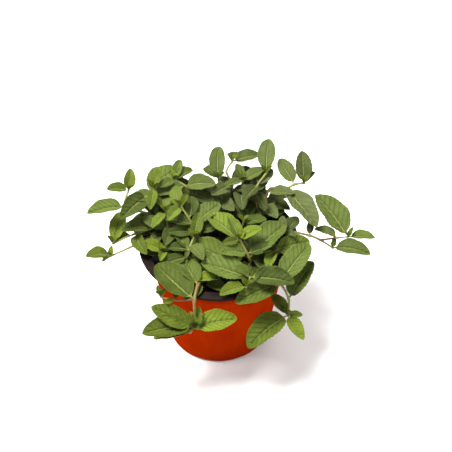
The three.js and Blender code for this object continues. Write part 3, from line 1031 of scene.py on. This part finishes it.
def soil_mesh():
    """The root ball as a closed form: fine rings on top, plain sides and base."""
    clear = WALL + GAP
    edge = SHOULDER_RADIUS + SHOULDER_STEP - clear
    lowest = CHANNEL_HEIGHT + WALL + GAP
    slope = (SHOULDER_RADIUS - BASE_RADIUS) / (SHOULDER_HEIGHT - CORNER_RADIUS)
    section = [
        (0, lowest), (BASE_RADIUS - clear + slope * (lowest - CORNER_RADIUS), lowest),
        (SHOULDER_RADIUS - clear, SHOULDER_HEIGHT), (edge, SHOULDER_HEIGHT + SHOULDER_STEP),
    ]
    top = [edge * (1 - k / SOIL_RINGS) for k in range(SOIL_RINGS + 1)]
    section += [(radius, soil_height(radius)) for radius in top]
    form = bmesh.new()
    rings = [
        [
            form.verts.new(on_ring(radius, math.tau * k / SOIL_COLUMNS, height))
            for k in range(SOIL_COLUMNS if radius > POLE_RADIUS else 1)
        ]
        for radius, height in section
    ]
    return skinned("soil_body", form, rings, SOIL_COLUMNS)


def soil_maker():
    """A tree that roughens the top of the soil and strews crumbs over it."""
    plan = Plan.geometry("soil maker", {
        "Top height": ("NodeSocketFloat", 0.075),
        "Roughness": ("NodeSocketFloat", 2.2 * MM),
        "Crumb density": ("NodeSocketFloat", 260000.0),
        "Crumb size": ("NodeSocketFloat", 1.0 * MM),
        "Seed": ("NodeSocketInt", SOIL_SEED),
        "Material": ("NodeSocketMaterial", None),
    })
    _, _, height = plan.split(plan.node("GeometryNodeInputPosition"))
    top = plan.smooth(height, plan.given("Top height") - 0.5 * MM, plan.given("Top height"))
    lumps = plan.node("ShaderNodeTexNoise", {"Scale": 160.0, "Detail": 4.0, "Roughness": 0.65})
    rise = plan.joined(0.0, 0.0, (lumps - 0.5) * plan.given("Roughness") * top)
    body = plan.node("GeometryNodeSetPosition", {"Geometry": plan.given("Geometry"), "Offset": rise})
    is_top = plan.math("GREATER_THAN", top, 0.5)
    seed = plan.given("Seed")
    points = plan.node("GeometryNodeDistributePointsOnFaces", {
        "Mesh": body, "Selection": is_top, "Density": plan.given("Crumb density"), "Seed": seed,
    })
    crumb = plan.node("GeometryNodeMeshIcoSphere", {"Radius": 1.0, "Subdivisions": CRUMB_ROUNDNESS})
    size = plan.any_vector(LEAST_CRUMB, LARGEST_CRUMB, seed)
    spin = plan.any_vector((0.0, 0.0, 0.0), ANY_TURN, seed + 1)
    crumbs = plan.node("GeometryNodeInstanceOnPoints", {
        "Points": points, "Instance": crumb, "Rotation": spin, "Scale": size * plan.given("Crumb size"),
    })
    tree = plan.tree
    both = tree.nodes.new("GeometryNodeJoinGeometry")
    tree.links.new(crumbs.socket, both.inputs[0])
    tree.links.new(body.socket, both.inputs[0])
    return plan.finish(Flow(plan, both.outputs[0]), plan.given("Material"))


# ---- Materials ----

NET_SIZE = 750.0  # cells of the finest leaf veins to a metre
VEIN_SHADE_SHARPNESS = 12.0  # the higher, the narrower the furrow over a side vein, with its painted shade and its bump
VEIN_LINE_SHARPNESS = 40.0  # and the pale line in the middle of it
LEAF_RELIEF = 0.3 * MM
STEM_RELIEF = 0.12 * MM
POT_RELIEF = 0.1 * MM
SOIL_RELIEF = 0.4 * MM
LEAF_GLOSS = 0.12
POT_GLOSS = 0.0  # without gloss the orange stays pure under white light
AGE_MOTTLE = 0.35  # how far the age of a leaf's skin varies from patch to patch
SHADE_DEPTH = 0.75  # how near the most shaded leaf comes to the deep green
SHADE_MOTTLE = 0.7
FADE_START = 0.75  # where the side veins start to fade, from the midrib at 0 to the margin at 1
FLOOR_SHADE = 0.97
STREAK_SIZE = (260.0, 260.0, 14.0)  # flow marks, drawn out up the wall


def new_material(name):
    """A material with a Principled shader, and the plan of its node tree."""
    material = bpy.data.materials.new(name)
    material.use_nodes = True
    plan = Plan(material.node_tree)
    shader = next(n for n in material.node_tree.nodes if n.type == "BSDF_PRINCIPLED")
    return material, plan, shader


def mottle_group():
    """Soft blotches and fine grain that follow a piece in its own place."""
    plan = Plan.group("mottle", {
        "Blotch size": ("NodeSocketFloat", 200.0),
        "Grain size": ("NodeSocketFloat", 2000.0),
    }, {"Blotches": "NodeSocketFloat", "Grain": "NodeSocketFloat"})
    place = plan.node("ShaderNodeTexCoord", output="Object")
    for output, size in (("Blotches", "Blotch size"), ("Grain", "Grain size")):
        noise = plan.node("ShaderNodeTexNoise", {"Vector": place, "Scale": plan.given(size), "Detail": 3.0})
        plan.feed(plan.exit.inputs[output], noise)
    return plan.tree


def mottled(plan, blotch_size, grain_size):
    """The mottle group in a material: its blotches and its grain."""
    node = plan.tree.nodes.new("ShaderNodeGroup")
    node.node_tree = bpy.data.node_groups["mottle"]
    node.inputs["Blotch size"].default_value = blotch_size
    node.inputs["Grain size"].default_value = grain_size
    return Flow(plan, node.outputs["Blotches"]), Flow(plan, node.outputs["Grain"])


def attribute(plan, name, output="Fac"):
    """An attribute of the mesh, as a number or a vector."""
    node = plan.tree.nodes.new("ShaderNodeAttribute")
    node.attribute_name = name
    return Flow(plan, node.outputs[output])


def bumped(plan, shader, height, distance):
    """Gives a material a fine relief of the height and distance given."""
    inputs = {"Height": height, "Distance": distance, "Strength": 1.0}
    plan.feed(shader.inputs["Normal"], plan.node("ShaderNodeBump", inputs))


def leaf_skin(plan, colours, youth, shade, blotches):
    """The green between the veins, from old to young, and deeper where the leaf is shaded."""
    # Youth includes painted light: leaves towards the light come out younger and brighter
    age = plan.clamped(youth + (blotches - 0.5) * AGE_MOTTLE)
    skin = plan.colour(plan.clamped(age * 2.0), tuple(colours.leaf_old), tuple(colours.leaf_grown))
    skin = plan.colour(plan.clamped(age * 2.0 - 1.0), skin, tuple(colours.leaf_young))
    dull = plan.clamped(shade * SHADE_DEPTH + (blotches - 0.5) * SHADE_MOTTLE)
    return plan.colour(dull, skin, tuple(colours.leaf_shaded))


def side_veins(plan, reach, blade):
    """The furrow over each side vein, which the leaf's colour darkens as painted shade, and the pale line in
    it, both faded out at the margin.
    """
    vein = (blade - reach ** VEIN_CURVE * leaf_outline(blade) * VEIN_SWEEP) * SIDE_VEINS
    wave = plan.math("COSINE", vein * math.tau) * 0.5 + 0.5
    inland = plan.smooth(reach, FADE_START, 1.0, 1.0, 0.0)
    return wave ** VEIN_SHADE_SHARPNESS * inland, wave ** VEIN_LINE_SHARPNESS * inland


def leaf_material(colours):
    """Leaf green: young to old, painted shade in the furrows, the midrib crease and the vein net, pale veins
    and margins, a duller underside, fine netted veins.
    """
    material, plan, shader = new_material("leaf_green")
    aside, blade, side = plan.split(attribute(plan, "leaf_chart", "Vector"))
    youth, shade, _ = plan.split(attribute(plan, "leaf_kind", "Vector"))
    reach = plan.math("ABSOLUTE", aside)
    blotches, grain = mottled(plan, 180.0, 1600.0)
    skin = leaf_skin(plan, colours, youth, shade, blotches)

    # Painted shade: what lies low is darkened towards the shaded green, that is the furrows, the crease
    # along the midrib and the net of fine veins, with random grain mixed in
    furrow, line = side_veins(plan, reach, blade)
    midrib_crease_shade = plan.smooth(reach, 0.0, 0.3, 1.0, 0.0) * 0.3
    place = plan.node("ShaderNodeTexCoord", output="Object")
    net = plan.node("ShaderNodeTexVoronoi", {"Vector": place, "Scale": NET_SIZE}, feature="DISTANCE_TO_EDGE")
    netted = plan.smooth(net, 0.0, 0.22)
    painted_shade_and_grain = furrow * 0.55 + midrib_crease_shade + (1.0 - netted) * 0.22 + (grain - 0.5) * 0.3
    skin = plan.colour(plan.clamped(painted_shade_and_grain), skin, tuple(colours.leaf_shaded))

    # Pale tissue: the side veins, the midrib, the margin and the stalk
    midrib = plan.smooth(reach, 0.02, 0.08, 1.0, 0.0) * plan.smooth(blade, 0.1, 0.9, 0.95, 0.4)
    margin = plan.smooth(reach, 0.93, 1.0) * 0.35
    veined = plan.math("MAXIMUM", plan.math("MAXIMUM", line * 0.3, midrib), margin)
    skin = plan.colour(veined, skin, tuple(colours.leaf_vein))
    stalk = plan.smooth(blade, 0.0, 0.05, 0.7, 0.0)
    skin = plan.colour(stalk, skin, tuple(colours.leaf_vein))
    beneath = plan.smooth(side, -0.1, 0.1, 0.55, 0.0)
    skin = plan.colour(beneath, skin, tuple(colours.leaf_under))
    plan.feed(shader.inputs["Base Color"], skin)

    plan.feed(shader.inputs["Roughness"], plan.clamped(0.5 + grain * 0.2 - netted * 0.08))
    shader.inputs["Specular IOR Level"].default_value = LEAF_GLOSS
    bumped(plan, shader, netted * 0.7 + grain * 0.5 - furrow * 0.6, LEAF_RELIEF)
    return material


def stem_material(colours):
    """Stem skin: brown and red-tinged low down, greener towards the tip, with fine ridges."""
    material, plan, shader = new_material("stem_skin")
    share = attribute(plan, "stem_share")
    blotches, grain = mottled(plan, 250.0, 2600.0)
    share = plan.clamped(share + (blotches - 0.5) * 0.7)
    skin = plan.colour(plan.smooth(share, 0.0, 0.45), tuple(colours.stem_low), tuple(colours.stem_middle))
    skin = plan.colour(plan.smooth(share, 0.4, 0.9), skin, tuple(colours.stem_tip))
    skin = plan.colour(plan.smooth(grain, 0.55, 0.75, 0.0, 0.4), skin, tuple(colours.stem_low))
    plan.feed(shader.inputs["Base Color"], skin)
    plan.feed(shader.inputs["Roughness"], 0.45 + grain * 0.25)
    bumped(plan, shader, grain, STEM_RELIEF)
    return material


def pot_material(colours):
    """Formed plastic: a dark inner skin and rim, a bright outer skin, faint flow marks and scuffs."""
    material, plan, shader = new_material("pot_plastic")
    inner = plan.smooth(attribute(plan, "inner_skin"), 0.4, 0.6)
    blotches, grain = mottled(plan, 45.0, 900.0)
    place = plan.node("ShaderNodeTexCoord", output="Object")
    drawn_out = {"Vector": place * STREAK_SIZE, "Scale": 1.0, "Detail": 3.0}
    streaks = plan.node("ShaderNodeTexNoise", drawn_out)
    cloud = plan.clamped(blotches * 0.6 + streaks * 0.4)
    outer = plan.colour(plan.smooth(cloud, 0.3, 0.7), tuple(colours.pot_outside), tuple(colours.pot_deep))
    dust = plan.smooth(cloud, 0.35, 0.7)
    dark = plan.colour(dust, tuple(colours.pot_inside), tuple(colours.pot_inside_dusty))
    plan.feed(shader.inputs["Base Color"], plan.colour(inner, outer, dark))
    plan.feed(shader.inputs["Roughness"], 0.3 + cloud * 0.14 + grain * 0.08)
    shader.inputs["Specular IOR Level"].default_value = POT_GLOSS
    bumped(plan, shader, streaks * 0.7 + grain * 0.3, POT_RELIEF)
    return material


def soil_material(colours):
    """Potting mix: nearly black when moist, with browner fibres and dry crumbs."""
    material, plan, shader = new_material("potting_mix")
    blotches, grain = mottled(plan, 320.0, 2200.0)
    dryness = plan.smooth(blotches, 0.42, 0.68)
    soil = plan.colour(dryness, tuple(colours.soil_moist), tuple(colours.soil_dry))
    soil = plan.colour(plan.smooth(grain, 0.6, 0.8, 0.0, 0.6), soil, tuple(colours.soil_fibre))
    plan.feed(shader.inputs["Base Color"], soil)
    plan.feed(shader.inputs["Roughness"], 0.85 + grain * 0.15)
    bumped(plan, shader, grain + blotches, SOIL_RELIEF)
    return material


def floor_material(colour):
    """Plain pale floor with a trace of unevenness."""
    material, plan, shader = new_material("pale_floor")
    grain = plan.node("ShaderNodeTexNoise", {"Scale": 30.0, "Detail": 2.0})
    tone = plan.colour(grain * 0.1, tuple(colour), tuple(FLOOR_SHADE * c for c in colour[:3]) + (1.0,))
    plan.feed(shader.inputs["Base Color"], tone)
    shader.inputs["Roughness"].default_value = 0.9
    return material


# ---- Sizes and colours a user may change ----


def colour_prop(name, description, colour):
    return bpy.props.FloatVectorProperty(
        name=name, description=description, subtype="COLOR", size=4, min=0, max=1, default=(*colour, 1.0),
    )


def length_prop(name, description, default):
    return bpy.props.FloatProperty(
        name=name, description=description, unit="LENGTH", subtype="DISTANCE", default=default * MM,
        min=0, precision=5,
    )


class MintColours(bpy.types.PropertyGroup):
    """The plant's and the pot's colours."""

    leaf_old: colour_prop("Old leaf", "Grey-green of a full-grown leaf", (0.096, 0.117, 0.038))
    leaf_grown: colour_prop("Grown leaf", "Mid green of a growing leaf", (0.108, 0.152, 0.025))
    leaf_young: colour_prop("Young leaf", "Yellow-green of a leaf at the tip", (0.215, 0.285, 0.018))
    leaf_shaded: colour_prop("Shaded leaf", "Deep green of a low or shaded leaf", (0.016, 0.026, 0.003))
    leaf_vein: colour_prop("Vein", "Pale green of veins, margins and stalks", (0.180, 0.198, 0.047))
    leaf_under: colour_prop("Underside", "Dull green of the underside", (0.058, 0.066, 0.011))
    stem_low: colour_prop("Old stem", "Red-brown foot of a stem", (0.080, 0.029, 0.008))
    stem_middle: colour_prop("Stem", "Tan middle of a stem", (0.143, 0.074, 0.018))
    stem_tip: colour_prop("Stem tip", "Green end of a stem", (0.143, 0.151, 0.027))
    pot_outside: colour_prop("Pot outside", "Orange outer skin of the pot", (0.269, 0.018, 0.0004))
    pot_deep: colour_prop("Pot outside, deep", "Redder patches of the outer skin", (0.218, 0.012, 0.0004))
    pot_inside: colour_prop("Pot inside", "Dark inner skin and rim", (0.009, 0.006, 0.005))
    pot_inside_dusty: colour_prop("Pot inside, dusty", "Dust on the inner skin", (0.019, 0.014, 0.012))
    soil_moist: colour_prop("Moist soil", "Nearly black potting mix", (0.008, 0.005, 0.003))
    soil_dry: colour_prop("Dry soil", "Browner crumbs", (0.030, 0.018, 0.010))
    soil_fibre: colour_prop("Fibre", "Peat fibres in the mix", (0.080, 0.048, 0.024))
    floor: colour_prop("Floor", "Pale floor", (0.900, 0.900, 0.895))


class MintSizes(bpy.types.PropertyGroup):
    """Sizes of the finish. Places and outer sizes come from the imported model."""

    blade_thickness: length_prop("Blade thickness", "Thickness of a leaf between its veins", 0.3)
    stalk_radius: length_prop("Stalk radius", "Radius of a large leaf's stalk", 0.55)
    small_stalk_radius: length_prop("Small stalk radius", "Radius of a small leaf's stalk", 0.4)
    crumb_size: length_prop("Crumb size", "Largest half-width of a crumb of soil", 0.9)
    soil_roughness: length_prop("Soil roughness", "Height of the lumps on the soil", 2.2)
    seed: bpy.props.IntProperty(name="Seed", description="Picks each leaf's own shape", default=11)


class MintSettings(bpy.types.PropertyGroup):
    """All settings of the plant."""

    colours: bpy.props.PointerProperty(type=MintColours)
    sizes: bpy.props.PointerProperty(type=MintSizes)


# ---- Operators ----


class MINT_OT_prepare(bpy.types.Operator):
    """Make the materials and find where each leaf grew"""

    bl_idname = "mint.prepare"
    bl_label = "Prepare the plant"

    def execute(self, context):
        colours = context.scene.mint.colours
        mottle_group()
        for make in (leaf_material, stem_material, pot_material, soil_material):
            make(colours)
        PLANT.update({name: grow_shoot(name, shoot) for name, shoot in SHOOTS.items()})
        return {"FINISHED"}


class MINT_OT_pot(bpy.types.Operator):
    """Make the formed plastic pot with its rim, drainage channels and holes"""

    bl_idname = "mint.pot"
    bl_label = "Make the pot"

    def execute(self, context):
        pot = bpy.data.objects.new("nursery_pot", pot_mesh())
        context.scene.collection.objects.link(pot)
        drills = drain_drills()
        context.scene.collection.objects.link(drills)
        cut = pot.modifiers.new("holes", "BOOLEAN")
        cut.object = drills
        cut.operation = "DIFFERENCE"
        cut.solver = "EXACT"
        context.view_layer.update()
        evaluated = pot.evaluated_get(context.evaluated_depsgraph_get())
        shell = bpy.data.meshes.new_from_object(evaluated)
        pot.modifiers.remove(cut)
        bpy.data.objects.remove(drills)
        pot.data = shell
        paint(shell, bpy.data.materials["pot_plastic"])
        shell.shade_smooth()
        bend = shell.attributes.get("sharp_edge") or shell.attributes.new("sharp_edge", "BOOLEAN", "EDGE")
        bend.data.foreach_set("value", sharp_edges(shell, math.radians(SHARP_TURN)))
        hand_over(pot, "pot", "pot")
        return {"FINISHED"}


def sharp_edges(mesh, limit):
    """Whether each edge of a mesh turns by more than a limit."""
    form = bmesh.new()
    form.from_mesh(mesh)
    form.edges.ensure_lookup_table()
    sharp = [len(e.link_faces) == 2 and e.calc_face_angle(0) > limit for e in form.edges]
    form.free()
    return sharp


class MINT_OT_soil(bpy.types.Operator):
    """Make the root ball with its rough, crumbly top"""

    bl_idname = "mint.soil"
    bl_label = "Make the soil"

    def execute(self, context):
        sizes = context.scene.mint.sizes
        soil = grown_mesh("soil_ball", soil_mesh(), soil_maker(), {
            "Top height": SOIL_EDGE_HEIGHT * MM,
            "Roughness": sizes.soil_roughness,
            "Crumb size": sizes.crumb_size,
            "Material": bpy.data.materials["potting_mix"],
        })
        hand_over(soil, "soil", "soil")
        return {"FINISHED"}


class MINT_OT_stems(bpy.types.Operator):
    """Sweep a stem along the path of each shoot"""

    bl_idname = "mint.stems"
    bl_label = "Grow the stems"

    def execute(self, context):
        tree = stem_grower()
        values = {"Material": bpy.data.materials["stem_skin"]}
        for name, shoot in PLANT.items():
            lines = stem_lines(f"shoot_{name}_stem", shoot["paths"], shoot["joints"])
            stem = grown_mesh(lines.name, lines, tree, values)
            stem.data.shade_smooth()
            hand_over(stem, "stem", f"stem_{name}")
        return {"FINISHED"}


class MINT_OT_small_leaves(bpy.types.Operator):
    """Grow the small leaves and buds of each shoot"""

    bl_idname = "mint.small_leaves"
    bl_label = "Grow the small leaves"

    def execute(self, context):
        sizes = context.scene.mint.sizes
        rng = random.Random(sizes.seed)
        tree = leaf_grower()
        values = {
            **SMALL_LEAF_FORM,
            "Thickness": sizes.blade_thickness * SMALL_BLADE_SHARE,
            "Stalk radius": sizes.small_stalk_radius,
            "Material": bpy.data.materials["leaf_green"],
        }
        for name, shoot in PLANT.items():
            leaves = [{**leaf, "reach": leaf["length"] - STALK_ROOT} for leaf in shoot["small"]]
            if leaves:
                piece = grow_leaves(f"shoot_{name}_leaves", leaves, tree, rng, values, STALK_ROOT)
                hand_over(piece, "leaf", f"stem_{name}")
        return {"FINISHED"}


class MINT_OT_large_leaves(bpy.types.Operator):
    """Grow the large leaves, each a piece of its own"""

    bl_idname = "mint.large_leaves"
    bl_label = "Grow the large leaves"

    def execute(self, context):
        sizes = context.scene.mint.sizes
        rng = random.Random(sizes.seed + 1)
        tree = bpy.data.node_groups["leaf grower"]
        values = {
            **LARGE_LEAF_FORM,
            "Thickness": sizes.blade_thickness,
            "Stalk radius": sizes.stalk_radius,
            "Material": bpy.data.materials["leaf_green"],
        }
        for shoot in PLANT.values():
            for node, leaf in shoot["large"]:
                grown = {**leaf, "reach": leaf["length"] + STEM_RADIUS + GAP}
                piece = grow_leaves(f"grown_{node}", [grown], tree, rng, values, STALK_ROOT)
                hand_over(piece, "leaf", node)
        return {"FINISHED"}


class MINT_OT_stage(bpy.types.Operator):
    """Set the pale floor, the soft lights and the camera"""

    bl_idname = "mint.stage"
    bl_label = "Set the stage"

    def execute(self, context):
        scene = context.scene
        floor = bpy.data.objects.new("floor", floor_mesh())
        scene.collection.objects.link(floor)
        floor.data.materials.append(floor_material(scene.mint.colours.floor))
        for light in LIGHTS:
            add_light(scene, **light)
        set_world(scene)
        set_camera(scene)
        scene.view_settings.view_transform = "Standard"
        return {"FINISHED"}


# ---- Stage ----

FLOOR_RADIUS = 3.0
FLOOR_COLUMNS = 64
VIEW_AZIMUTH = 270
VIEW_ELEVATION = 44.3
VIEW_DISTANCE = 0.565
VIEW_FOCUS = (0, 0, POT_HEIGHT * MM)
VIEW_LENS = 68.1
SENSOR_WIDTH = 36
VIEW_SHIFT = (0.0159, 0.0290)
LIGHTS = (
    {"name": "key", "azimuth": 200, "elevation": 72, "distance": 1.1, "size": 0.45, "power": 33.0},
    {"name": "fill", "azimuth": 300, "elevation": 45, "distance": 1.3, "size": 0.9, "power": 5.0},
    {"name": "back", "azimuth": 80, "elevation": 50, "distance": 1.3, "size": 0.8, "power": 5.0},
)
WORLD_STRENGTH = 0.5


def floor_mesh():
    """A round floor at the height that the pot stands on."""
    angles = [math.tau * k / FLOOR_COLUMNS for k in range(FLOOR_COLUMNS)]
    rim = [(FLOOR_RADIUS * math.cos(angle), FLOOR_RADIUS * math.sin(angle), 0) for angle in angles]
    mesh = bpy.data.meshes.new("floor")
    mesh.from_pydata(rim, [], [list(range(FLOOR_COLUMNS))])
    return mesh


def on_dome(azimuth, elevation, distance, centre):
    """A point seen from the centre at an azimuth from +X and an elevation, in degrees."""
    turn, lift = math.radians(azimuth), math.radians(elevation)
    level = math.cos(lift)
    outward = Vector((math.cos(turn) * level, math.sin(turn) * level, math.sin(lift)))
    return Vector(centre) + distance * outward


def aimed(item, place, target):
    """Puts a light or the camera at a place and turns it towards a target."""
    item.location = place
    item.rotation_euler = (Vector(target) - place).to_track_quat("-Z", "Y").to_euler()


def add_light(scene, name, azimuth, elevation, distance, size, power):
    light = bpy.data.lights.new(name, "AREA")
    light.shape = "DISK"
    light.size = size
    light.energy = power
    item = bpy.data.objects.new(name, light)
    scene.collection.objects.link(item)
    aimed(item, on_dome(azimuth, elevation, distance, VIEW_FOCUS), VIEW_FOCUS)


def set_world(scene):
    world = bpy.data.worlds.new("soft_light")
    scene.world = world
    world.use_nodes = True
    sky = next(n for n in world.node_tree.nodes if n.type == "BACKGROUND")
    sky.inputs["Color"].default_value = (1.0, 1.0, 1.0, 1.0)
    sky.inputs["Strength"].default_value = WORLD_STRENGTH


def set_camera(scene):
    camera = bpy.data.cameras.new("view")
    camera.lens = VIEW_LENS
    camera.sensor_width = SENSOR_WIDTH
    camera.shift_x, camera.shift_y = VIEW_SHIFT
    camera.clip_start = 0.01
    item = bpy.data.objects.new("view", camera)
    scene.collection.objects.link(item)
    aimed(item, on_dome(VIEW_AZIMUTH, VIEW_ELEVATION, VIEW_DISTANCE, VIEW_FOCUS), VIEW_FOCUS)
    scene.camera = item


# ---- Panel and running ----


class MINT_PT_panel(bpy.types.Panel):
    """The sidebar panel that lists the plant's operators and settings"""

    bl_idname = "MINT_PT_panel"
    bl_label = "Potted mint"
    bl_space_type = "VIEW_3D"
    bl_region_type = "UI"
    bl_category = "Mint"

    def draw(self, context):
        """Draws a button for each operator and a box for each group of settings."""
        settings = context.scene.mint
        for operator in OPERATORS:
            self.layout.operator(operator.bl_idname)
        for group in (settings.sizes, settings.colours):
            box = self.layout.box()
            for name in group.__annotations__:
                box.prop(group, name)


PLANT = {}  # what grow_shoot gives for each shoot, filled in by the first operator
OPERATORS = (
    MINT_OT_prepare, MINT_OT_pot, MINT_OT_soil, MINT_OT_stems, MINT_OT_small_leaves, MINT_OT_large_leaves,
    MINT_OT_stage,
)
CLASSES = (MintColours, MintSizes, MintSettings, *OPERATORS, MINT_PT_panel)


def register():
    for cls in CLASSES:
        bpy.utils.register_class(cls)
    bpy.types.Scene.mint = bpy.props.PointerProperty(type=MintSettings)


def unregister():
    del bpy.types.Scene.mint
    for cls in reversed(CLASSES):
        bpy.utils.unregister_class(cls)


def main():
    """Makes the plant and its stage."""
    register()
    for operator in OPERATORS:
        group, name = operator.bl_idname.split(".")
        getattr(getattr(bpy.ops, group), name)()
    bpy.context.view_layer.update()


if __name__ == "__main__":
    main()
